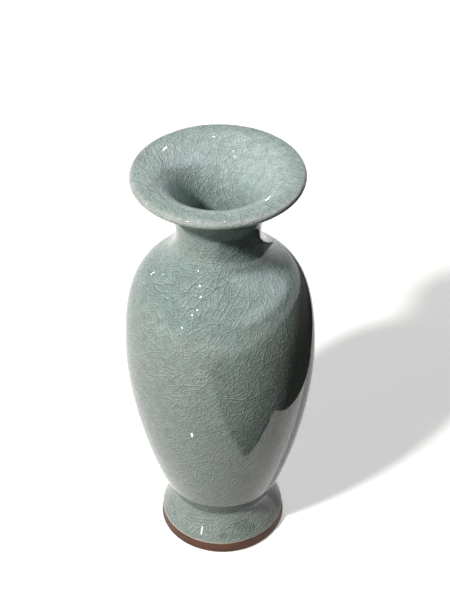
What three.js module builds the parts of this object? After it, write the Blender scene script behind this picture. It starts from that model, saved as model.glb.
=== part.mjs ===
// A baluster vase with a trumpet mouth, in stoneware under a crackled celadon glaze.
// Units are millimetres, +Z is up, and the origin is the centre of the foot ring's resting face.
// The clay is four thrown sections luted together with slip. The glaze is a coat outside, a coat
// inside and a coat under the foot, and the bare foot band carries a wash of iron-brown slip.
import * as THREE from "three";

// Overall form, measured on the finished outer surface.
const HEIGHT = 355;
const FOOT_RADIUS = 52.5;
const GLAZE_LINE_HEIGHT = 9.7;
const GLAZE_LINE_RADIUS = 51.4;
const WAIST_RADIUS = 43;
const WAIST_HEIGHT = 38;
const BELLY_RADIUS = 75;
const BELLY_HEIGHT = 188;
const SHOULDER_RADIUS = 53.2;
const SHOULDER_HEIGHT = 269;
const SHOULDER_SLOPE = THREE.MathUtils.degToRad(145);
const NECK_RADIUS = 32.1;
const NECK_HEIGHT = 300.5;
const LIP_RADIUS = 64.7;
const LIP_ROUND = 3.5;
const CREST = 1;

// How full each curve of the outline is: the length of its handles.
const FOOT_SPREAD = 4;
const WAIST_HOLLOW = 11;
const BODY_SPRING_OUT = 9.5;
const BODY_SPRING_UP = 16.5;
const BELLY_FULLNESS_BELOW = 60;
const BELLY_FULLNESS_ABOVE = 45;
const SHOULDER_FULLNESS = 19;
const NECK_HOLLOW = 11;
const FLARE_RISE = 30;
const FLARE_SPREAD = 18;
const LIP_UNDERCUT = THREE.MathUtils.degToRad(-60);

// Walls, coats and joints.
const WALL = 7;
const GLAZE = 0.9;
const WASH = 0.5;
const GLAZE_STEP = 0.5;
const SLIP = 0.8;
const GAP = 0.3;
const BEVEL = 3;
const NECK_JOINT_DROP = 14;

// Inside and underneath.
const FUNNEL_DISH = 24;
const FUNNEL_DEPTH = 32;
const FLOOR_HEIGHT = 54;
const FLOOR_ROUND = 22;
const WELL_HEIGHT = 40;
const WELL_RADIUS = 30;
const WELL_ROUND = 6;
const WELL_EDGE = 3;
const RING_WIDTH = 9.5;
const ARRIS = 1;

// Fineness of the faceted surfaces.
const TURN_STEPS = 32;
const CURVE_STEPS = 6;
const ROUND_STEPS = 4;

const COAT = GLAZE + GAP;
const WASH_COAT = WASH + GAP;
const JOINT = SLIP + 2 * GAP;

const celadon = new THREE.MeshStandardMaterial({ color: 0x93a8a1, roughness: 0.12, metalness: 0 });
const bareClay = new THREE.MeshStandardMaterial({ color: 0x8f8172, roughness: 0.85, metalness: 0 });
const slipClay = new THREE.MeshStandardMaterial({ color: 0xa59787, roughness: 0.9, metalness: 0 });
const ironWash = new THREE.MeshStandardMaterial({ color: 0x6a4a3e, roughness: 0.6, metalness: 0 });

const at = (radius, height) => new THREE.Vector2(radius, height);
const along = (from, angle, length) => at(from.x + length * Math.cos(angle), from.y + length * Math.sin(angle));
const bend = (from, leaving, arriving, to) => new THREE.CubicBezierCurve(from, leaving, arriving, to);

// The points of a chain of curves, each with its own number of steps.
function trace(...stretches) {
  const points = [];
  for (const [curve, steps] of stretches)
    for (const point of curve.getPoints(steps))
      if (!points.length || points.at(-1).distanceTo(point) > GAP / 10) points.push(point);
  return points;
}

// The same line moved sideways, to the left of its own direction when distance is positive.
function offset(points, distance) {
  return points.map((point, i) => {
    const before = points[Math.max(i - 1, 0)];
    const after = points[Math.min(i + 1, points.length - 1)];
    const into = point.clone().sub(before).normalize();
    const out = after.clone().sub(point).normalize();
    const way = into.add(out).normalize();
    const turn = i > 0 && i < points.length - 1 ? way.dot(point.clone().sub(before).normalize()) : 1;
    return at(Math.max(0, point.x - (way.y * distance) / turn), point.y + (way.x * distance) / turn);
  });
}

const crossing = (a, b, height) => a.clone().lerp(b, (height - a.y) / (b.y - a.y));

// The stretch of a rising line up to a height, cut exactly there.
function below(points, height) {
  const i = points.findIndex((point) => point.y >= height);
  return i < 1 ? points : [...points.slice(0, i), crossing(points[i - 1], points[i], height)];
}

// The stretch of a rising line from a height on, cut exactly there.
function above(points, height) {
  const i = points.findIndex((point) => point.y > height);
  return i < 1 ? points : [crossing(points[i - 1], points[i], height), ...points.slice(i)];
}

const between = (points, low, high) => above(below(points, high), low);

const reversed = (points) => [...points].reverse();

// The outer surface, from the edge of the glaze above the foot band up to the crest of the lip.
function outerOutline() {
  const foot = at(GLAZE_LINE_RADIUS, GLAZE_LINE_HEIGHT);
  const waist = at(WAIST_RADIUS, WAIST_HEIGHT);
  const belly = at(BELLY_RADIUS, BELLY_HEIGHT);
  const shoulder = at(SHOULDER_RADIUS, SHOULDER_HEIGHT);
  const neck = at(NECK_RADIUS, NECK_HEIGHT);
  const lip = at(LIP_RADIUS - LIP_ROUND, HEIGHT - LIP_ROUND);
  const underLip = along(lip, LIP_UNDERCUT, LIP_ROUND);
  const lipWay = LIP_UNDERCUT + Math.PI / 2;
  return trace(
    [bend(foot, at(foot.x, foot.y + FOOT_SPREAD), at(waist.x, waist.y - WAIST_HOLLOW), waist), ROUND_STEPS],
    [bend(waist, at(waist.x + BODY_SPRING_OUT, waist.y + BODY_SPRING_UP),
      at(belly.x, belly.y - BELLY_FULLNESS_BELOW), belly), CURVE_STEPS + 1],
    [bend(belly, at(belly.x, belly.y + BELLY_FULLNESS_ABOVE),
      along(shoulder, SHOULDER_SLOPE, -SHOULDER_FULLNESS), shoulder), CURVE_STEPS],
    [bend(shoulder, along(shoulder, SHOULDER_SLOPE, SHOULDER_FULLNESS),
      at(neck.x, neck.y - NECK_HOLLOW), neck), ROUND_STEPS],
    [bend(neck, at(neck.x, neck.y + FLARE_RISE), along(underLip, lipWay, -FLARE_SPREAD), underLip), CURVE_STEPS],
    [new THREE.EllipseCurve(lip.x, lip.y, LIP_ROUND, LIP_ROUND, LIP_UNDERCUT, Math.PI / 2), ROUND_STEPS],
    [new THREE.LineCurve(at(lip.x, HEIGHT), at(lip.x - CREST, HEIGHT)), 1],
  );
}

// The surface of the hollow inside, from the middle of the floor up to the crest of the lip.
function innerOutline() {
  const spring = at(WAIST_RADIUS - WALL, FLOOR_HEIGHT);
  const belly = at(BELLY_RADIUS - WALL, BELLY_HEIGHT);
  const shoulder = along(at(SHOULDER_RADIUS, SHOULDER_HEIGHT), SHOULDER_SLOPE + Math.PI / 2, WALL);
  const throat = at(NECK_RADIUS - WALL, NECK_HEIGHT);
  const crest = at(LIP_RADIUS - LIP_ROUND - CREST - GAP, HEIGHT);
  const dish = at(crest.x - CREST, crest.y);
  return trace(
    [new THREE.LineCurve(at(0, FLOOR_HEIGHT), at(spring.x - FLOOR_ROUND, FLOOR_HEIGHT)), 1],
    [bend(at(spring.x - FLOOR_ROUND, FLOOR_HEIGHT), at(spring.x + BODY_SPRING_OUT, FLOOR_HEIGHT),
      at(belly.x, belly.y - BELLY_FULLNESS_BELOW), belly), CURVE_STEPS + 1],
    [bend(belly, at(belly.x, belly.y + BELLY_FULLNESS_ABOVE),
      along(shoulder, SHOULDER_SLOPE, -SHOULDER_FULLNESS), shoulder), CURVE_STEPS - 1],
    [bend(shoulder, along(shoulder, SHOULDER_SLOPE, SHOULDER_FULLNESS),
      at(throat.x, throat.y - NECK_HOLLOW), throat), ROUND_STEPS],
    [bend(throat, at(throat.x, throat.y + FUNNEL_DEPTH), at(dish.x - FUNNEL_DISH, dish.y), dish), CURVE_STEPS],
    [new THREE.LineCurve(dish, crest), 1],
  );
}

// The surface of the hollow under the foot, from its middle out and down to the edge of its glaze.
function wellOutline() {
  const edge = at(FOOT_RADIUS - RING_WIDTH, WELL_EDGE);
  const corner = at(WELL_RADIUS, WELL_HEIGHT);
  const slope = Math.atan2(edge.y - corner.y, edge.x - corner.x);
  const inner = at(corner.x - WELL_ROUND, corner.y);
  return trace(
    [new THREE.LineCurve(at(0, WELL_HEIGHT), inner), 1],
    [new THREE.QuadraticBezierCurve(inner, corner, along(corner, slope, WELL_ROUND)), ROUND_STEPS],
    [new THREE.LineCurve(along(corner, slope, WELL_ROUND), edge), 1],
  );
}

const outer = outerOutline();
const inner = innerOutline();
const well = wellOutline();
const clayOuter = offset(outer, COAT);
const clayInner = offset(inner, -COAT);
const clayWell = offset(well, COAT);

const WAIST_JOINT = WELL_HEIGHT + COAT - JOINT / 2;
const BELLY_JOINT = BELLY_HEIGHT;
const NECK_JOINT = NECK_HEIGHT - NECK_JOINT_DROP;

// A closed outline turned about the vase's axis. It runs up on its outer side.
function turned(name, outline, material) {
  const onAxis = outline[0].x === 0 && outline.at(-1).x === 0;
  const closed = onAxis ? outline : [...outline, outline[0].clone()];
  const mesh = new THREE.Mesh(new THREE.LatheGeometry(closed, TURN_STEPS), material);
  mesh.name = name;
  return mesh;
}

// A ring of the wall between two heights. Its ends are bevelled, so that sections centre themselves.
function wallRing(low, high) {
  return [
    ...between(clayOuter, low, high),
    ...reversed(between(clayInner, low + BEVEL, high + BEVEL)),
  ];
}

// A coat of even thickness on one side of a line.
const coat = (line, thickness) => [...line, ...reversed(offset(line, thickness))];

function footSection() {
  const top = WAIST_JOINT - JOINT / 2;
  const bandTop = at(GLAZE_LINE_RADIUS - GLAZE_STEP - WASH_COAT, GLAZE_LINE_HEIGHT - GAP);
  const innerEdge = FOOT_RADIUS - RING_WIDTH;
  const wall = between(reversed(clayWell), WELL_EDGE, top);
  return turned("foot_section", [
    at(innerEdge + ARRIS, 0),
    at(FOOT_RADIUS - WASH_COAT - ARRIS, 0),
    at(FOOT_RADIUS - WASH_COAT, ARRIS),
    bandTop,
    ...between(clayOuter, GLAZE_LINE_HEIGHT + GAP, top),
    ...reversed(wall),
    at(innerEdge, WELL_EDGE - GAP),
    at(innerEdge, ARRIS),
  ], bareClay);
}

function waistSlip() {
  const low = WAIST_JOINT - SLIP / 2;
  const high = WAIST_JOINT + SLIP / 2;
  const inside = between(reversed(clayWell), WELL_EDGE, WAIST_JOINT - JOINT / 2).at(-1).x;
  return turned("waist_slip_joint", [
    at(inside, low),
    ...between(clayOuter, low, high),
    at(inside, high),
  ], slipClay);
}

function lowerBody() {
  const low = WAIST_JOINT + JOINT / 2;
  const high = BELLY_JOINT - JOINT / 2;
  return turned("lower_body", [
    at(0, low),
    ...between(clayOuter, low, high),
    ...reversed(below(clayInner, high + BEVEL)),
  ], bareClay);
}

function neckSection() {
  const low = NECK_JOINT + JOINT / 2;
  return turned("neck_section", [
    ...above(clayOuter, low),
    ...reversed(above(clayInner, low + BEVEL)),
  ], bareClay);
}

function ironBand() {
  const bottom = at(FOOT_RADIUS, ARRIS + GAP);
  const top = at(GLAZE_LINE_RADIUS - GLAZE_STEP, GLAZE_LINE_HEIGHT - GAP);
  return turned("iron_wash_band", coat([bottom, top], WASH), ironWash);
}

const sections = [
  footSection(),
  waistSlip(),
  lowerBody(),
  turned("belly_slip_joint", wallRing(BELLY_JOINT - SLIP / 2, BELLY_JOINT + SLIP / 2), slipClay),
  turned("upper_body", wallRing(BELLY_JOINT + JOINT / 2, NECK_JOINT - JOINT / 2), bareClay),
  turned("neck_slip_joint", wallRing(NECK_JOINT - SLIP / 2, NECK_JOINT + SLIP / 2), slipClay),
  neckSection(),
];

const coats = [
  turned("outer_glaze", coat(outer, GLAZE), celadon),
  turned("inner_glaze", [...offset(inner, -GLAZE), ...reversed(inner)], celadon),
  turned("foot_well_glaze", coat(well, GLAZE), celadon),
  ironBand(),
];

const pieces = new THREE.Group();
pieces.rotation.x = Math.PI / 2;
pieces.add(...sections, ...coats);

const vase = new THREE.Group();
vase.add(pieces);

export default vase;
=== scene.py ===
# The crackle glaze vase: the surfaces and finish of a stoneware baluster vase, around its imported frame.
import math

import bpy
from mathutils import Matrix, Vector

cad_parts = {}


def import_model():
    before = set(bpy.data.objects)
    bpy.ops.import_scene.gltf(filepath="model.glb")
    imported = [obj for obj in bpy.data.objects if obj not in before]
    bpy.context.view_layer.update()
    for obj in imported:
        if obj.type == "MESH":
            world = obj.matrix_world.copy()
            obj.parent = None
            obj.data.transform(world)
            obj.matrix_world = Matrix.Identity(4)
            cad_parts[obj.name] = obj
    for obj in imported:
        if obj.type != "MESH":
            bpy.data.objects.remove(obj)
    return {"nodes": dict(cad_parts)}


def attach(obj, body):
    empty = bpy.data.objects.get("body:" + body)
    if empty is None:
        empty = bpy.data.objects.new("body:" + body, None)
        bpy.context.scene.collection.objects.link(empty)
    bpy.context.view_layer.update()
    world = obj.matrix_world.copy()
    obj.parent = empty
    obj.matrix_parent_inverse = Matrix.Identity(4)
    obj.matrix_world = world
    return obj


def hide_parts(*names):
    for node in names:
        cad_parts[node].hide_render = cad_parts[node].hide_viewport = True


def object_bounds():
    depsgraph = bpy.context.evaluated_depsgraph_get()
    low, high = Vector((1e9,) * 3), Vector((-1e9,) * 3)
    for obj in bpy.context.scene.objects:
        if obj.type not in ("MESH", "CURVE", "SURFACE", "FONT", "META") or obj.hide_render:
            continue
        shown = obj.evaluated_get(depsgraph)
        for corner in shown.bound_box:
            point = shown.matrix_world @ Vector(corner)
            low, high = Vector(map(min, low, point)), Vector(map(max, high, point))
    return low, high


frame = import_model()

cad_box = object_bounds()

MM = 0.001

# Overall form, as in the part's source, measured on the finished outer surface.
HEIGHT = cad_box[1].z
FOOT_RADIUS = 52.5 * MM
GLAZE_LINE_HEIGHT = 9.7 * MM
GLAZE_LINE_RADIUS = 51.4 * MM
WAIST_RADIUS = 43 * MM
WAIST_HEIGHT = 38 * MM
BELLY_RADIUS = cad_box[1].x
BELLY_HEIGHT = 188 * MM
SHOULDER_RADIUS = 53.2 * MM
SHOULDER_HEIGHT = 269 * MM
SHOULDER_SLOPE = math.radians(145)
NECK_RADIUS = 32.1 * MM
NECK_HEIGHT = 300.5 * MM
LIP_RADIUS = 64.7 * MM
LIP_ROUND = 3.5 * MM
CREST = 1 * MM

# How full each curve of the outline is: the length of its handles.
FOOT_SPREAD = 4 * MM
WAIST_HOLLOW = 11 * MM
BODY_SPRING_OUT = 9.5 * MM
BODY_SPRING_UP = 16.5 * MM
BELLY_FULLNESS_BELOW = 60 * MM
BELLY_FULLNESS_ABOVE = 45 * MM
SHOULDER_FULLNESS = 19 * MM
NECK_HOLLOW = 11 * MM
FLARE_RISE = 30 * MM
FLARE_SPREAD = 18 * MM
LIP_UNDERCUT = math.radians(-60)

# Walls and coats.
WALL = 7 * MM
GLAZE = 0.9 * MM
WASH = 0.5 * MM
GLAZE_STEP = 0.5 * MM
GAP = 0.3 * MM

# Inside and underneath.
FUNNEL_DISH = 24 * MM
FUNNEL_DEPTH = 32 * MM
FLOOR_HEIGHT = 54 * MM
FLOOR_ROUND = 22 * MM
WELL_HEIGHT = 40 * MM
WELL_RADIUS = 30 * MM
WELL_ROUND = 6 * MM
WELL_EDGE = 3 * MM
RING_WIDTH = 9.5 * MM
RING_TOP = 39.6 * MM
ARRIS = 1 * MM

# Fineness of the turned surfaces. Points nearer than SAME_POINT are one, and a radius under ON_AXIS is none.
TURN_STEPS = 192
CURVE_STEPS = 18
ROUND_STEPS = 10
ARRIS_STEPS = 5
BAND_STEPS = 12
SAME_POINT = GAP / 10
ON_AXIS = GAP / 100


def at(radius, height):
    return Vector((radius, height))


def along(start, angle, length):
    return start + Vector((math.cos(angle), math.sin(angle))) * length


def bend(a, b, c, d, steps=CURVE_STEPS):
    """Points of a cubic curve."""
    ts = [i / steps for i in range(steps + 1)]
    return [a * (1 - t) ** 3 + b * 3 * (1 - t) ** 2 * t + c * 3 * (1 - t) * t**2 + d * t**3 for t in ts]


def arc(centre, radius, start, end, steps=ROUND_STEPS):
    return [along(centre, start + (end - start) * i / steps, radius) for i in range(steps + 1)]


def chain(*stretches):
    """The stretches one after another, without doubled points."""
    points = []
    for stretch in stretches:
        for point in stretch:
            if not points or (points[-1] - point).length > SAME_POINT:
                points.append(point)
    return points


def offset(points, distance):
    """The line moved sideways, to the left of its own direction when distance is positive."""
    moved = []
    for i, point in enumerate(points):
        before = points[max(i - 1, 0)]
        after = points[min(i + 1, len(points) - 1)]
        way = (after - before).normalized()
        moved.append(at(max(0, point.x - way.y * distance), point.y + way.x * distance))
    return moved


def belly_to_neck(belly, shoulder, neck):
    """The two curves over the shoulder."""
    return chain(
        bend(belly, belly + at(0, BELLY_FULLNESS_ABOVE),
             along(shoulder, SHOULDER_SLOPE, -SHOULDER_FULLNESS), shoulder),
        bend(shoulder, along(shoulder, SHOULDER_SLOPE, SHOULDER_FULLNESS), neck - at(0, NECK_HOLLOW), neck),
    )


def outer_outline():
    """The outer surface, from the glaze's edge above the foot band up to the crest of the lip."""
    foot = at(GLAZE_LINE_RADIUS, GLAZE_LINE_HEIGHT)
    waist = at(WAIST_RADIUS, WAIST_HEIGHT)
    belly = at(BELLY_RADIUS, BELLY_HEIGHT)
    shoulder = at(SHOULDER_RADIUS, SHOULDER_HEIGHT)
    neck = at(NECK_RADIUS, NECK_HEIGHT)
    lip = at(LIP_RADIUS - LIP_ROUND, HEIGHT - LIP_ROUND)
    under_lip = along(lip, LIP_UNDERCUT, LIP_ROUND)
    return chain(
        bend(foot, foot + at(0, FOOT_SPREAD), waist - at(0, WAIST_HOLLOW), waist),
        bend(waist, waist + at(BODY_SPRING_OUT, BODY_SPRING_UP),
             belly - at(0, BELLY_FULLNESS_BELOW), belly, 2 * CURVE_STEPS),
        belly_to_neck(belly, shoulder, neck),
        bend(neck, neck + at(0, FLARE_RISE),
             along(under_lip, LIP_UNDERCUT + math.pi / 2, -FLARE_SPREAD), under_lip),
        arc(lip, LIP_ROUND, LIP_UNDERCUT, math.pi / 2),
        [at(lip.x - CREST, HEIGHT)],
    )


def inner_outline():
    """The surface of the hollow inside, from the middle of the floor up to the crest of the lip."""
    spring = at(WAIST_RADIUS - WALL, FLOOR_HEIGHT)
    flat_edge = at(spring.x - FLOOR_ROUND, FLOOR_HEIGHT)
    corner = at(spring.x + BODY_SPRING_OUT, FLOOR_HEIGHT)
    belly = at(BELLY_RADIUS - WALL, BELLY_HEIGHT)
    shoulder = along(at(SHOULDER_RADIUS, SHOULDER_HEIGHT), SHOULDER_SLOPE + math.pi / 2, WALL)
    throat = at(NECK_RADIUS - WALL, NECK_HEIGHT)
    dish = at(LIP_RADIUS - LIP_ROUND - 2 * CREST - GAP, HEIGHT)
    return chain(
        [at(0, FLOOR_HEIGHT)],
        bend(flat_edge, corner, belly - at(0, BELLY_FULLNESS_BELOW), belly),
        belly_to_neck(belly, shoulder, throat),
        bend(throat, throat + at(0, FUNNEL_DEPTH), dish - at(FUNNEL_DISH, 0), dish),
    )


def well_outline():
    """The surface of the hollow under the foot, from its middle out and down to the edge of its glaze."""
    edge = at(FOOT_RADIUS - RING_WIDTH, WELL_EDGE)
    corner = at(WELL_RADIUS, WELL_HEIGHT)
    slope = math.atan2(edge.y - corner.y, edge.x - corner.x)
    inner = at(corner.x - WELL_ROUND, corner.y)
    outer = along(corner, slope, WELL_ROUND)
    return chain([at(0, WELL_HEIGHT)], bend(inner, corner, corner, outer), [edge])


def new_object(name, data):
    made = bpy.data.objects.new(name, data)
    bpy.context.scene.collection.objects.link(made)
    return made


def turned(name, outline):
    """A closed solid: the outline turned about the vase's axis. It runs up on its outer side."""
    vertices = []
    rings = []
    for point in outline:
        if point.x < ON_AXIS:
            rings.append([len(vertices)] * TURN_STEPS)
            vertices.append((0, 0, point.y))
            continue
        rings.append(list(range(len(vertices), len(vertices) + TURN_STEPS)))
        for i in range(TURN_STEPS):
            turn = 2 * math.pi * i / TURN_STEPS
            vertices.append((point.x * math.cos(turn), point.x * math.sin(turn), point.y))
    pairs = list(zip(rings, rings[1:]))
    if max(outline[0].x, outline[-1].x) >= ON_AXIS:
        pairs.append((rings[-1], rings[0]))
    faces = []
    for low, high in pairs:
        for i in range(TURN_STEPS):
            j = (i + 1) % TURN_STEPS
            corners = [low[i], low[j], high[j], high[i]]
            face = [c for k, c in enumerate(corners) if c not in corners[:k]]
            if len(face) > 2:
                faces.append(face)
    mesh = bpy.data.meshes.new(name)
    mesh.from_pydata(vertices, [], faces)
    mesh.validate()
    mesh.shade_smooth()
    return new_object(name, mesh)


# Node trees


def add(tree, kind, inputs=None, **settings):
    """A new node, with its settings and with each named or numbered input linked or set."""
    node = tree.nodes.new("ShaderNode" + kind)
    for key, value in settings.items():
        setattr(node, key, value)
    for key, value in (inputs or {}).items():
        if isinstance(value, bpy.types.NodeSocket):
            tree.links.new(value, node.inputs[key])
        else:
            node.inputs[key].default_value = value
    return node


def new_material(name):
    material = bpy.data.materials.new(name)
    material.use_nodes = True
    tree = material.node_tree
    tree.nodes.clear()
    return material, tree


def finish_material(tree, shader):
    add(tree, "OutputMaterial", {"Surface": shader.outputs[0]})


def calc(tree, operation, *values):
    return add(tree, "Math", dict(enumerate(values)), operation=operation).outputs[0]


def product(tree, first, *others):
    for other in others:
        first = calc(tree, "MULTIPLY", first, other)
    return first


def total(tree, first, *others):
    for other in others:
        first = calc(tree, "ADD", first, other)
    return first


def minus(tree, a, b):
    return calc(tree, "SUBTRACT", a, b)


def clamp(tree, value):
    return add(tree, "Clamp", {"Value": value}).outputs[0]


def remap(tree, value, low, high, to_low=0.0, to_high=1.0):
    inputs = {"Value": value, "From Min": low, "From Max": high, "To Min": to_low, "To Max": to_high}
    return add(tree, "MapRange", inputs, interpolation_type="SMOOTHSTEP").outputs["Result"]


def pick(tree, which, a, b):
    """a where which is 0, and b where it is 1."""
    return add(tree, "Mix", {0: which, 2: a, 3: b}, data_type="FLOAT").outputs[0]


def blend(tree, amount, a, b, mode="MIX"):
    return add(tree, "Mix", {0: amount, 6: a, 7: b}, data_type="RGBA", blend_type=mode).outputs[2]


def grey(tree, value):
    return add(tree, "CombineColor", {i: value for i in range(3)}).outputs[0]


def vector(tree, operation, *values):
    return add(tree, "VectorMath", dict(enumerate(values)), operation=operation).outputs[0]


def measure(tree, operation, *vectors):
    return add(tree, "VectorMath", dict(enumerate(vectors)), operation=operation).outputs["Value"]


def part_of(tree, position, axis):
    return add(tree, "SeparateXYZ", {0: position}).outputs[axis]


def flat(tree, across, up):
    return add(tree, "CombineXYZ", {0: across, 1: up}).outputs[0]


def from_axis(tree, position):
    """The level way from the vase's axis to the position."""
    return vector(tree, "MULTIPLY", position, (1, 1, 0))


def radius_at(tree, position):
    return measure(tree, "LENGTH", from_axis(tree, position))


def noise(tree, position, size, detail=2.0, colour=False):
    node = add(tree, "TexNoise", {"Vector": position, "Scale": 1 / size, "Detail": detail})
    return node.outputs["Color" if colour else "Fac"]


def patchy(tree, position, size, detail, low, high, to_low=0.0, to_high=1.0):
    """Noise between low and high, stretched to the range from to_low to to_high."""
    return remap(tree, noise(tree, position, size, detail), low, high, to_low, to_high)


def sway(tree, position, size, reach):
    """A number that changes slowly from place to place, around 0."""
    return product(tree, minus(tree, noise(tree, position, size, 1.0), 0.5), reach)


def warp(tree, position, size, reach):
    """The position pushed about by noise, as far as reach."""
    push = vector(tree, "SUBTRACT", noise(tree, position, size, 1.0, colour=True), (0.5, 0.5, 0.5))
    return vector(tree, "MULTIPLY_ADD", push, (2 * reach,) * 3, position)


def bump(tree, height, strength, distance=0.2 * MM):
    return add(tree, "Bump", {"Height": height, "Strength": strength, "Distance": distance}).outputs[0]


# The crackle

# The strips in which the surface is unrolled, and how far their borders wander, in radians.
STRIP_COUNT = 6
STRIP = 2 * math.pi / STRIP_COUNT
STRIP_WANDER = 0.7
WANDER_SIZE = 26 * MM

# How much of the way out under the mouth, and of the way over the lip and in, counts as way up the surface.
FLARE_SHARE = 0.5
MOUTH_SHARE = 0.8
CREST_RADIUS = LIP_RADIUS - LIP_ROUND - CREST
RIM_RISE = HEIGHT - LIP_ROUND + FLARE_SHARE * (LIP_RADIUS - NECK_RADIUS)
CREST_RISE = RIM_RISE + MOUTH_SHARE * (2 * LIP_ROUND + CREST)

# The upward part of the normal from which a surface counts as level.
LEVEL_FROM = 0.9

# Cells, and the long cracks over them. Each warp is a size and a reach, and the lean is in radians.
CRACK_WIDTH = 0.45 * MM
CRACK_LEAN = 0.7
CELL = 4.8 * MM
CELL_STRETCH = (0.72, 1.2, 1)
CELL_WARPS = ((25 * MM, 4 * MM), (2.5 * MM, 0.45 * MM))
LONG_CELL = 10 * MM
LONG_STRETCH = (0.35, 1, 1)
LONG_WARPS = ((40 * MM, 5 * MM), (9 * MM, 0.8 * MM))
LONG_BOLDNESS = 1.05

# The rungs across the cells. Their turns are in radians, and the last three values are shares.
RUNG_GAP = 2 * MM
RUNG_BOLDNESS = 0.6
RUNG_SWAY = 1.6
RUNG_SWAY_SIZE = 40 * MM
RUNG_LEAN_SIDEWAYS = 0.4 / BELLY_RADIUS
RUNG_SWING = 1.3
RUNG_CROSSING = 1.5
RUNGS_NOT_CROSSING = 0.55
RUNGS_MISSING = 0.15
RUNG_LEAN_INSIDE = 0.3


def way_up(tree, place, normal):
    """How far up the place is along the surface: up the wall, round the lip and down into the hollow."""
    z = part_of(tree, place, 2)
    radius = radius_at(tree, place)
    past_neck = calc(tree, "MAXIMUM", minus(tree, radius, NECK_RADIUS), 0)
    flare = product(tree, past_neck, FLARE_SHARE, calc(tree, "GREATER_THAN", z, NECK_HEIGHT))
    wall = total(tree, z, flare)
    over = minus(tree, z, HEIGHT - LIP_ROUND)
    into_rim = total(tree, minus(tree, LIP_RADIUS, radius), over)
    rim = total(tree, RIM_RISE, product(tree, into_rim, MOUTH_SHARE))
    into_hollow = minus(tree, CREST_RADIUS + HEIGHT, total(tree, radius, z))
    hollow = total(tree, CREST_RISE, product(tree, into_hollow, MOUTH_SHARE))

    top = calc(tree, "GREATER_THAN", over, 0)
    inward = calc(tree, "LESS_THAN", measure(tree, "DOT_PRODUCT", from_axis(tree, place), normal), 0)
    inner_side = pick(tree, top, inward, calc(tree, "LESS_THAN", radius, CREST_RADIUS))
    return pick(tree, inner_side, pick(tree, top, wall, rim), hollow)


def along_surface(tree, place, normal):
    """The place as it would lie if the surface were unrolled in upright strips: across the strip, and up
    the wall and over the lip. The level glaze under the foot stays as it is. The second result is the
    distance from the strip's border, which wanders."""
    x = part_of(tree, place, 0)
    y = part_of(tree, place, 1)
    radius = radius_at(tree, place)
    turn = calc(tree, "ARCTAN2", x, product(tree, y, -1))
    wandering = total(tree, turn, sway(tree, place, WANDER_SIZE, STRIP_WANDER))
    strips = calc(tree, "DIVIDE", wandering, STRIP)
    strip = calc(tree, "ROUND", strips)
    own_turn = minus(tree, turn, product(tree, strip, STRIP))
    apart = calc(tree, "MODULO", total(tree, strip, STRIP_COUNT), STRIP_COUNT)
    across = total(tree, product(tree, own_turn, radius), apart)
    past = calc(tree, "ABSOLUTE", minus(tree, strips, strip))
    border = product(tree, minus(tree, 0.5, past), product(tree, radius, STRIP))

    level = calc(tree, "GREATER_THAN", calc(tree, "ABSOLUTE", part_of(tree, normal, 2)), LEVEL_FROM)
    level = product(tree, level, calc(tree, "LESS_THAN", radius, WELL_RADIUS))
    upright = flat(tree, across, way_up(tree, place, normal))
    unrolled = add(tree, "Mix", {0: level, 4: upright, 5: flat(tree, x, y)}, data_type="VECTOR")
    return unrolled.outputs[1], total(tree, border, level)


def crooked(tree, unrolled, warps, stretch):
    """The unrolled place, warped, turned the way the cracks lean and stretched."""
    for size, reach in warps:
        unrolled = warp(tree, unrolled, size, reach)
    inputs = {"Vector": unrolled, "Angle": -CRACK_LEAN}
    leaning = add(tree, "VectorRotate", inputs, rotation_type="Z_AXIS").outputs[0]
    return vector(tree, "MULTIPLY", leaning, stretch)


def own_cell(tree, cells):
    """The cell that a place lies in, with its own middle and its own random colour."""
    return add(tree, "TexVoronoi", {"Vector": cells, "Scale": 1 / CELL}, voronoi_dimensions="2D").outputs


def borders(tree, cells, cell):
    """1 on the cracks between cells, falling to 0 at a crack's width away from them."""
    edge = add(tree, "TexVoronoi", {"Vector": cells, "Scale": 1 / cell},
               feature="DISTANCE_TO_EDGE", voronoi_dimensions="2D")
    return remap(tree, edge.outputs["Distance"], 0, CRACK_WIDTH / cell, 1, 0)


def rungs(tree, cells, lean):
    """Cracks side by side across each cell. They lean by an angle that differs from cell to cell."""
    own = own_cell(tree, cells)
    luck = add(tree, "SeparateColor", {0: own["Color"]}).outputs
    swing = product(tree, minus(tree, luck[0], 0.5), RUNG_SWING)
    crossing = product(tree, calc(tree, "GREATER_THAN", luck[1], RUNGS_NOT_CROSSING), RUNG_CROSSING)
    turn = total(tree, lean, total(tree, swing, crossing))
    way = flat(tree, product(tree, calc(tree, "SINE", turn), -1), calc(tree, "COSINE", turn))
    reach = measure(tree, "DOT_PRODUCT", vector(tree, "SUBTRACT", cells, own["Position"]), way)
    count = total(tree, calc(tree, "DIVIDE", reach, RUNG_GAP), noise(tree, cells, 2 * RUNG_GAP, 1.0))
    line = remap(tree, calc(tree, "PINGPONG", count, 0.5), 0, CRACK_WIDTH / RUNG_GAP, 1, 0)
    kept = add(tree, "TexWhiteNoise", {"Vector": own["Color"], "W": calc(tree, "ROUND", count)},
               noise_dimensions="4D").outputs["Value"]
    return product(tree, line, calc(tree, "GREATER_THAN", kept, RUNGS_MISSING))


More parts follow.
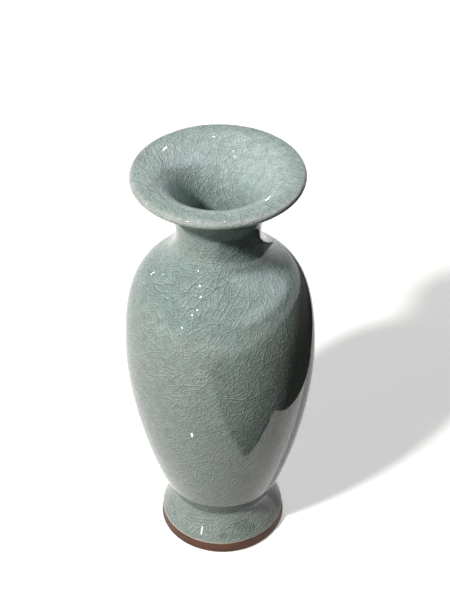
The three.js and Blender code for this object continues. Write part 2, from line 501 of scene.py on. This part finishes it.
def crack_relief(tree, place, normal, inside):
    """How high the cracks stand at a place: cells, the rungs across them, and a few long leaning cracks."""
    unrolled, strip_border = along_surface(tree, place, normal)
    cells = crooked(tree, unrolled, CELL_WARPS, CELL_STRETCH)
    sideways = product(tree, part_of(tree, place, 0), RUNG_LEAN_SIDEWAYS)
    lean = total(tree, sway(tree, place, RUNG_SWAY_SIZE, RUNG_SWAY), sideways)
    lean = product(tree, lean, remap(tree, inside, 0, 1, 1, RUNG_LEAN_INSIDE))
    across = product(tree, rungs(tree, cells, lean), RUNG_BOLDNESS)
    web = calc(tree, "MAXIMUM", across, borders(tree, cells, CELL))

    long_cells = crooked(tree, unrolled, LONG_WARPS, LONG_STRETCH)
    strip_crack = remap(tree, strip_border, 0, CRACK_WIDTH, 1, 0)
    long_cracks = calc(tree, "MAXIMUM", borders(tree, long_cells, LONG_CELL), strip_crack)
    return calc(tree, "MAXIMUM", web, product(tree, long_cracks, LONG_BOLDNESS))


# The glaze

CELADON = (0.270, 0.323, 0.297, 1)
CELADON_TEAL = (0.255, 0.327, 0.297, 1)
CELADON_GREY = (0.285, 0.325, 0.312, 1)
CELADON_BLUE = (0.255, 0.345, 0.325, 1)
CELADON_PALE = (0.405, 0.495, 0.487, 1)
# Brim colours: a paler glaze on the lip. Down round the lip's roll this is partly painted light.
CELADON_BRIM = (0.50, 0.545, 0.525, 1)
CELADON_RIM = (0.425, 0.47, 0.45, 1)
EDGE_GLAZE = (0.66, 0.55, 0.41, 1)
EDGE_PALE = (0.70, 0.69, 0.62, 1)
# The cracks' dark line, which also gives their painted shade, and their painted highlight.
CRACK_DARK_AND_PAINTED_SHADE = (0.085, 0.115, 0.10, 1)
CRACK_PAINTED_HIGHLIGHT = (0.62, 0.70, 0.67, 1)

# A crack is painted with a highlight on its lit side and with shade on its other side: the same relief,
# shifted towards the key light and away from it.
PAINTED_LIGHT_SHIFT = (-0.17 * MM, -0.18 * MM, 0.24 * MM)

# Where the tones of the glaze change: bluer towards the neck, pale in the funnel, and palest on the lip.
BLUE_FROM = 225 * MM
BLUE_FULL = 275 * MM
BLUE_UNEVENNESS = 20 * MM
PALE_BELOW_LIP = 53 * MM
PALE_FULL_BELOW_LIP = 16 * MM
# The pale brim round the lip. Where it reaches down round the lip's roll it is partly painted light, paler
# where the roll turns under into shade.
BRIM_BELOW_LIP = 13 * MM
BRIM_FULL_BELOW_LIP = 8 * MM
BRIM_INWARDS = 5 * MM
BRIM_FULL_INWARDS = 1 * MM

# The pale line where the glaze thins above the foot band.
EDGE_LINE = 1.0 * MM
EDGE_FADE = 2.3 * MM
EDGE_WANDER = 0.6 * MM


def glaze_tones(tree, place, patches):
    """The glaze's own colour, in soft patches."""
    lilac = patchy(tree, vector(tree, "ADD", place, (0.3, 0.1, 0.2)), 13 * MM, 3.0, 0.42, 0.66)
    colour = blend(tree, patches, CELADON, CELADON_TEAL)
    return blend(tree, product(tree, lilac, 0.7), colour, CELADON_GREY)


def mottled(tree, colour, place, normal):
    """The colour, a little lighter or darker from cell to cell, in clouds and in a fine frost."""
    unrolled, _ = along_surface(tree, place, normal)
    own = own_cell(tree, crooked(tree, unrolled, CELL_WARPS, CELL_STRETCH))
    tone = remap(tree, part_of(tree, own["Color"], 2), 0, 1, 0.93, 1.07)
    cloud = patchy(tree, place, 7 * MM, 3.0, 0.3, 0.7, 0.92, 1.08)
    frost = patchy(tree, place, 1.7 * MM, 2.0, 0.3, 0.7, 0.86, 1.14)
    return blend(tree, 1.0, colour, grey(tree, product(tree, cloud, tone, frost)), "MULTIPLY")


def crack_strength(tree, place, inside, high_up, brim):
    """How strongly the cracks show. They come and go, and are softer high up, inside and at the brim."""
    strength = patchy(tree, place, 28 * MM, 2.0, 0.35, 0.65, 0.55, 0.85)
    broken = patchy(tree, place, 3.5 * MM, 1.0, 0.35, 0.6, 0.55, 1.1)
    outside = minus(tree, 1.0, inside)
    softened = total(tree, product(tree, high_up, outside), product(tree, inside, 0.4))
    bold = minus(tree, 1.3, product(tree, softened, 0.45))
    bold = minus(tree, bold, product(tree, brim, 0.4))
    return product(tree, strength, broken, bold)


def cracked(tree, colour, slope, relief, strength):
    """The colour with the cracks drawn in it: dark crack lines, with painted shade on their side away from
    the key light and a painted highlight on their side towards it.
    """
    dark_line_and_painted_shade = clamp(tree, total(tree, product(tree, slope, -0.9), product(tree, relief, 0.22)))
    painted_highlight = clamp(tree, product(tree, slope, 0.75))
    colour = blend(tree, product(tree, dark_line_and_painted_shade, strength), colour, CRACK_DARK_AND_PAINTED_SHADE)
    return blend(tree, product(tree, painted_highlight, strength), colour, CRACK_PAINTED_HIGHLIGHT)


def edged(tree, colour, place, height):
    """The colour with the pale line, rusty in places, where the glaze ends above the foot band."""
    wander = product(tree, noise(tree, place, 6 * MM), EDGE_WANDER)
    level = total(tree, height, wander)
    edge = remap(tree, level, GLAZE_LINE_HEIGHT + EDGE_LINE, GLAZE_LINE_HEIGHT + EDGE_FADE, 1, 0)
    rust = patchy(tree, place, 40 * MM, 1.0, 0.4, 0.6)
    return blend(tree, product(tree, edge, 0.85), colour, blend(tree, rust, EDGE_PALE, EDGE_GLAZE))


def celadon_glaze(name, on_walls=True):
    """A blue-green crackled glaze under a clear, smooth skin. On the walls it has the blue towards the
    neck, the pale funnel and lip, and the pale line at its lower edge."""
    material, tree = new_material(name)
    coords = add(tree, "TexCoord").outputs
    place = coords["Object"]
    normal = coords["Normal"]
    height = part_of(tree, place, 2)
    outward = vector(tree, "NORMALIZE", from_axis(tree, place))
    inside = remap(tree, measure(tree, "DOT_PRODUCT", outward, normal), -0.35, 0.35, 1, 0)
    # The relief shifted towards and away from the key light, for the cracks' painted highlight and painted
    # shade.
    light = crack_relief(tree, vector(tree, "SUBTRACT", place, PAINTED_LIGHT_SHIFT), normal, inside)
    dark = crack_relief(tree, vector(tree, "ADD", place, PAINTED_LIGHT_SHIFT), normal, inside)
    relief = product(tree, total(tree, dark, light), 0.5)

    patches = patchy(tree, place, 24 * MM, 3.0, 0.38, 0.62)
    uneven_height = total(tree, height, product(tree, patches, BLUE_UNEVENNESS))
    high_up = remap(tree, uneven_height, BLUE_FROM, BLUE_FULL)
    brim = remap(tree, radius_at(tree, place), LIP_RADIUS - BRIM_INWARDS, LIP_RADIUS - BRIM_FULL_INWARDS)
    at_lip = remap(tree, height, HEIGHT - BRIM_BELOW_LIP, HEIGHT - BRIM_FULL_BELOW_LIP)
    brim = product(tree, brim, at_lip)

    colour = glaze_tones(tree, place, patches)
    if on_walls:
        blue = product(tree, calc(tree, "MAXIMUM", high_up, inside), 0.75)
        pale = remap(tree, height, HEIGHT - PALE_BELOW_LIP, HEIGHT - PALE_FULL_BELOW_LIP)
        colour = blend(tree, blue, colour, CELADON_BLUE)
        colour = blend(tree, product(tree, inside, pale), colour, CELADON_PALE)
        # The pale brim, partly painted light where it reaches down round the lip's roll.
        colour = blend(tree, brim, colour, blend(tree, inside, CELADON_RIM, CELADON_BRIM))
    colour = mottled(tree, colour, place, normal)
    strength = crack_strength(tree, place, inside, high_up, brim)
    # The cracks, with their painted shade and painted highlights.
    colour = cracked(tree, colour, minus(tree, light, dark), relief, strength)
    if on_walls:
        colour = edged(tree, colour, place, height)

    shader = add(tree, "BsdfPrincipled", {
        "Base Color": colour, "Roughness": 0.5, "Specular IOR Level": 0.0, "Normal": bump(tree, relief, 0.8),
        "Coat Weight": 0.9, "Coat Roughness": 0.04, "Coat IOR": 1.5,
        "Coat Normal": bump(tree, noise(tree, place, 14 * MM, 1.0), 0.4),
    })
    finish_material(tree, shader)
    return material


# Clay and wash

CLAY = (0.33, 0.25, 0.18, 1)
CLAY_DARK = (0.19, 0.135, 0.095, 1)
SLIP = (0.42, 0.34, 0.27, 1)
SLIP_DARK = (0.30, 0.235, 0.18, 1)
GROG = 1.4 * MM
IRON = (0.170, 0.078, 0.048, 1)
IRON_DARK = (0.095, 0.046, 0.032, 1)
IRON_ORANGE = (0.32, 0.15, 0.065, 1)
RUST_REACH = 3.5 * MM
RUST_FULL = 0.4 * MM


def bare_clay(name, colour, dark_colour):
    """Unglazed clay with dark specks of grog and a grainy surface."""
    material, tree = new_material(name)
    place = add(tree, "TexCoord").outputs["Object"]
    shade = blend(tree, patchy(tree, place, 9 * MM, 5.0, 0.35, 0.65), colour, dark_colour)
    grog = add(tree, "TexVoronoi", {"Vector": place, "Scale": 1 / GROG}, feature="F1")
    speck = remap(tree, grog.outputs["Distance"], 0.1, 0.35, 0.6, 0)
    shade = blend(tree, speck, shade, dark_colour)
    grain = bump(tree, noise(tree, place, 0.7 * MM, 4.0), 0.6)
    shader = add(tree, "BsdfPrincipled", {"Base Color": shade, "Roughness": 0.85, "Normal": grain})
    finish_material(tree, shader)
    return material


def iron_wash(name):
    """Brown wash, brushed round the foot on the wheel, with rust where the glaze's edge thins it."""
    material, tree = new_material(name)
    place = add(tree, "TexCoord").outputs["Object"]
    brushed = vector(tree, "MULTIPLY", place, (0.15, 0.15, 3.2))
    streaks = patchy(tree, brushed, 3 * MM, 4.0, 0.35, 0.65)
    colour = blend(tree, streaks, IRON, IRON_DARK)
    height = part_of(tree, place, 2)
    rust = remap(tree, height, GLAZE_LINE_HEIGHT - RUST_REACH, GLAZE_LINE_HEIGHT - RUST_FULL)
    patch = patchy(tree, place, 30 * MM, 2.0, 0.42, 0.62)
    colour = blend(tree, product(tree, rust, patch, 0.5), colour, IRON_ORANGE)
    speckle = patchy(tree, place, 1.2 * MM, 3.0, 0.55, 0.75, 0, 0.5)
    colour = blend(tree, speckle, colour, IRON_DARK)
    grain = bump(tree, total(tree, streaks, noise(tree, place, 0.8 * MM, 3.0)), 0.4, 0.15 * MM)
    shader = add(tree, "BsdfPrincipled", {
        "Base Color": colour, "Roughness": 0.5, "Specular IOR Level": 0.3, "Normal": grain,
    })
    finish_material(tree, shader)
    return material


# Pieces

outer = outer_outline()
inner = inner_outline()
well = well_outline()


def glaze_skin():
    """The glaze outside, over the lip and down the inside to the floor, as one coat."""
    face = chain(outer, list(reversed(inner)))
    back = offset(face, GLAZE)
    back[-1] = at(0, FLOOR_HEIGHT - GLAZE)
    piece = turned("glaze_skin", chain(list(reversed(back)), face))
    piece.data.flip_normals()
    return piece


def foot_well_skin():
    """The glaze of the hollow under the foot."""
    back = offset(well, GLAZE)
    back[0] = at(0, WELL_HEIGHT + GLAZE)
    return turned("foot_well_skin", well + list(reversed(back)))


def foot_band():
    """The washed band of the foot ring, from above its softened lower edge up to the glaze."""
    low = at(FOOT_RADIUS, ARRIS + GAP)
    high = at(GLAZE_LINE_RADIUS - GLAZE_STEP, GLAZE_LINE_HEIGHT - GAP)
    face = [low.lerp(high, i / BAND_STEPS) for i in range(BAND_STEPS + 1)]
    return turned("foot_band", chain(face, list(reversed(offset(face, WASH)))))


def foot_ring():
    """The clay of the foot ring, with the bare face that the vase rests on."""
    inner_edge = FOOT_RADIUS - RING_WIDTH
    coat = WASH + GAP
    outside = [p for p in offset(outer, GLAZE + GAP) if GLAZE_LINE_HEIGHT + GAP < p.y < RING_TOP]
    hollow = [p for p in offset(well, GLAZE + GAP) if WELL_EDGE < p.y < RING_TOP]
    inner_arris = at(inner_edge + ARRIS, ARRIS)
    outer_arris = at(FOOT_RADIUS - coat - ARRIS, ARRIS)
    return turned("foot_ring", chain(
        arc(inner_arris, ARRIS, -math.pi, -math.pi / 2, ARRIS_STEPS),
        arc(outer_arris, ARRIS, -math.pi / 2, 0, ARRIS_STEPS),
        [at(GLAZE_LINE_RADIUS - GLAZE_STEP - coat, GLAZE_LINE_HEIGHT - GAP)],
        outside,
        hollow,
        [at(inner_edge, WELL_EDGE - GAP)],
    ))


def paint(piece, material):
    piece.data.materials.clear()
    piece.data.materials.append(material)


def dress(piece, material):
    paint(piece, material)
    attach(piece, "root")


glaze = celadon_glaze("crackled_celadon")
well_glaze = celadon_glaze("crackled_celadon_in_the_foot", on_walls=False)
clay = bare_clay("stoneware", CLAY, CLAY_DARK)
slip = bare_clay("joining_slip", SLIP, SLIP_DARK)
wash = iron_wash("iron_wash")

skin = glaze_skin()
dress(skin, glaze)
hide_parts("outer_glaze", "inner_glaze")

well_skin = foot_well_skin()
dress(well_skin, well_glaze)
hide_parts("foot_well_glaze")

band = foot_band()
dress(band, wash)
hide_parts("iron_wash_band")

ring = foot_ring()
dress(ring, clay)
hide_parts("foot_section")

for node in ("waist_slip_joint", "belly_slip_joint", "neck_slip_joint"):
    paint(frame["nodes"][node], slip)
for node in ("lower_body", "upper_body", "neck_section"):
    paint(frame["nodes"][node], clay)


# Stage

# The floor is white where it is seen, and dark for the soft light that it would throw back.
FLOOR_SIZE = 60
FLOOR_UNSEEN = (0.07, 0.07, 0.07, 1)
FLOOR_WHITE = (0.97, 0.97, 0.96, 1)
FLOOR_GLOW = 0.36
GLOW_FROM = 0.8
GLOW_FULL = 4

# The studio lights the vase dimly, and is as bright as these strengths where it is seen.
WHITE = (1, 1, 1, 1)
STUDIO_DIM = (1.0, 0.98, 0.92, 1)
STUDIO_HIGH = (0.85, 0.95, 1.0, 1)
STUDIO_FILL = 0.045
STUDIO_LEFT = 0.2
STUDIO_RIGHT = 3.7

# The card's left border starts at its corner, runs towards the front with a slant, and gets softer. The
# card is greyer far off on the right, and it fades out at its front end.
CARD = ((-0.12, -0.112), (0.19, -0.112), (0.31, 0.925), (3, 0.925), (3, -3), (-1.6, -3))
CARD_CORNER = (0.062, -0.112)
CARD_SLANT = 0.443
CARD_SOFTNESS = 0.008
CARD_SOFTENING = 0.06
CARD_DARK = (0.025, 0.025, 0.02, 1)
CARD_GREY = (0.2, 0.195, 0.17, 1)
CARD_GREY_FROM = 0.28
CARD_GREY_FULL = 0.6
CARD_END = -1.1
CARD_END_FADE = -0.7

CAMERA_BACK = 2.5354 * HEIGHT
CAMERA_RISE = 2.7356 * HEIGHT
CAMERA_SENSOR = 36
CAMERA_LENS = 90
CAMERA_PITCH = 0.6863
CAMERA_YAW = 0.0046
CAMERA_ROLL = -0.0112

LAMP_DISTANCE = 3
PLAIN_LIGHT = (1, 1, 1)
KEY_LIGHT = (1.0, 0.985, 0.95)
FLOOR_GLINT_DISTANCE = 0.242


def seen(tree):
    """1 for rays from the camera, and for rays that the object mirrors or lets through."""
    rays = add(tree, "LightPath").outputs
    passed_on = calc(tree, "MAXIMUM", rays["Is Glossy Ray"], rays["Is Transmission Ray"])
    return calc(tree, "MAXIMUM", rays["Is Camera Ray"], passed_on)


def floor():
    """A plain pale floor, white but for the vase's shadow. Far off it glows more, and so stays white."""
    bpy.ops.mesh.primitive_plane_add(size=FLOOR_SIZE, location=(0, 0, -GAP))
    plane = bpy.context.object
    plane.name = "floor"
    material, tree = new_material("pale_floor")
    shown = seen(tree)
    matt = add(tree, "BsdfDiffuse", {"Color": blend(tree, shown, FLOOR_UNSEEN, FLOOR_WHITE)})
    far = radius_at(tree, add(tree, "TexCoord").outputs["Object"])
    strength = product(tree, shown, remap(tree, far, GLOW_FROM, GLOW_FULL, FLOOR_GLOW, 1))
    glow = add(tree, "Emission", {"Color": WHITE, "Strength": strength})
    finish_material(tree, add(tree, "AddShader", {0: matt.outputs[0], 1: glow.outputs[0]}))
    plane.data.materials.append(material)


def world():
    """A dim studio for soft light. Where it is seen it is white low down, and brighter high on the right."""
    sky = bpy.data.worlds.new("studio")
    bpy.context.scene.world = sky
    sky.use_nodes = True
    tree = sky.node_tree
    tree.nodes.clear()
    way = add(tree, "SeparateXYZ", {0: add(tree, "TexCoord").outputs["Generated"]}).outputs
    up = remap(tree, way[2], 0.05, 0.3)
    steep = remap(tree, way[2], 0.2, 0.5)
    overhead = remap(tree, way[2], 0.65, 0.85, 1, 0.5)
    in_front = remap(tree, way[1], 0.3, 0.6, 1, 0.3)
    right = product(tree, remap(tree, way[0], 0.1, 0.6), steep, in_front)
    high = product(tree, total(tree, STUDIO_LEFT, product(tree, right, STUDIO_RIGHT)), overhead)
    bright = total(tree, product(tree, up, high), minus(tree, 1.0, up))
    dim = add(tree, "Background", {"Color": STUDIO_DIM, "Strength": STUDIO_FILL})
    pale = add(tree, "Background", {"Color": blend(tree, up, WHITE, STUDIO_HIGH), "Strength": bright})
    either = add(tree, "MixShader", {0: seen(tree), 1: dim.outputs[0], 2: pale.outputs[0]})
    add(tree, "OutputWorld", {"Surface": either.outputs[0]})


def card():
    """A dark card on the floor beside the vase, out of the picture, for the glaze to mirror."""
    mesh = bpy.data.meshes.new("dark_card")
    mesh.from_pydata([(x, y, GAP) for x, y in CARD], [], [range(len(CARD))])
    sheet = new_object("dark_card", mesh)
    sheet.visible_camera = False
    sheet.visible_shadow = False
    sheet.visible_diffuse = False
    material, tree = new_material("dark_card")
    place = add(tree, "TexCoord").outputs["Object"]
    x = part_of(tree, place, 0)
    y = part_of(tree, place, 1)
    ahead = calc(tree, "MINIMUM", minus(tree, y, CARD_CORNER[1]), 0)
    border = total(tree, CARD_CORNER[0], product(tree, ahead, CARD_SLANT))
    soft = minus(tree, CARD_SOFTNESS, product(tree, ahead, CARD_SOFTENING))
    cover = remap(tree, calc(tree, "DIVIDE", minus(tree, x, border), soft), -1, 1)
    cover = product(tree, cover, remap(tree, y, CARD_END, CARD_END_FADE))
    colour = blend(tree, remap(tree, x, CARD_GREY_FROM, CARD_GREY_FULL), CARD_DARK, CARD_GREY)
    matt = add(tree, "BsdfDiffuse", {"Color": colour})
    clear = add(tree, "BsdfTransparent")
    finish_material(tree, add(tree, "MixShader", {0: cover, 1: clear.outputs[0], 2: matt.outputs[0]}))
    mesh.materials.append(material)


def lamp(name, azimuth, elevation, size, power, colour=PLAIN_LIGHT, distance=LAMP_DISTANCE, mirrored=True):
    """A round lamp that faces the vase. Azimuth 0 is in front, and it grows towards the picture's left."""
    a = math.radians(azimuth)
    e = math.radians(elevation)
    way = Vector((-math.sin(a) * math.cos(e), -math.cos(a) * math.cos(e), math.sin(e)))
    data = bpy.data.lights.new(name, "AREA")
    data.shape = "DISK"
    data.size = size
    data.energy = power
    data.color = colour
    light = new_object(name, data)
    light.location = Vector((0, 0, HEIGHT / 2)) + way * distance
    light.visible_camera = False
    light.visible_glossy = mirrored
    light.rotation_mode = "QUATERNION"
    light.rotation_quaternion = (-way).to_track_quat("-Z", "Y")


def camera():
    """The photograph's view: from above and in front."""
    data = bpy.data.cameras.new("camera")
    data.sensor_width = CAMERA_SENSOR
    data.lens = CAMERA_LENS
    view = new_object("camera", data)
    view.location = (0, -CAMERA_BACK, CAMERA_RISE)
    level = math.cos(CAMERA_PITCH)
    ahead = Vector((math.sin(CAMERA_YAW) * level, math.cos(CAMERA_YAW) * level, -math.sin(CAMERA_PITCH)))
    side = Vector((math.cos(CAMERA_YAW), -math.sin(CAMERA_YAW), 0))
    up = side.cross(ahead)
    right = side * math.cos(CAMERA_ROLL) + up * math.sin(CAMERA_ROLL)
    top = up * math.cos(CAMERA_ROLL) - side * math.sin(CAMERA_ROLL)
    view.rotation_mode = "QUATERNION"
    view.rotation_quaternion = Matrix((right, top, -ahead)).transposed().to_quaternion()
    bpy.context.scene.camera = view


floor()
world()
card()

# The key lamp throws the shadows and the glaze doesn't mirror it. The glints are the glaze's highlights.
lamp("key", 45, 46, 0.25, 96, KEY_LIGHT, mirrored=False)
lamp("low_key_glint", 43, 43, 0.13, 2.6)
lamp("high_key_glint", 43, 57, 0.1, 1.6)
lamp("low_glint", 47, 13, 0.09, 1.3)
lamp("side_glint", 131, 19, 0.045, 0.35)
lamp("far_glint", 172, 10, 0.09, 1.3)
lamp("second_side_glint", 118, 23, 0.05, 0.4)
lamp("top_glint", 186, 74, 0.1, 1.8)
lamp("back_glint", 201, 51, 0.12, 2)
lamp("floor_glint", 33, -45, 0.0075, 0.0032, distance=FLOOR_GLINT_DISTANCE)
lamp("back_fill", 180, 35, 1.2, 25, mirrored=False)
camera()
bpy.context.scene.view_settings.view_transform = "Standard"
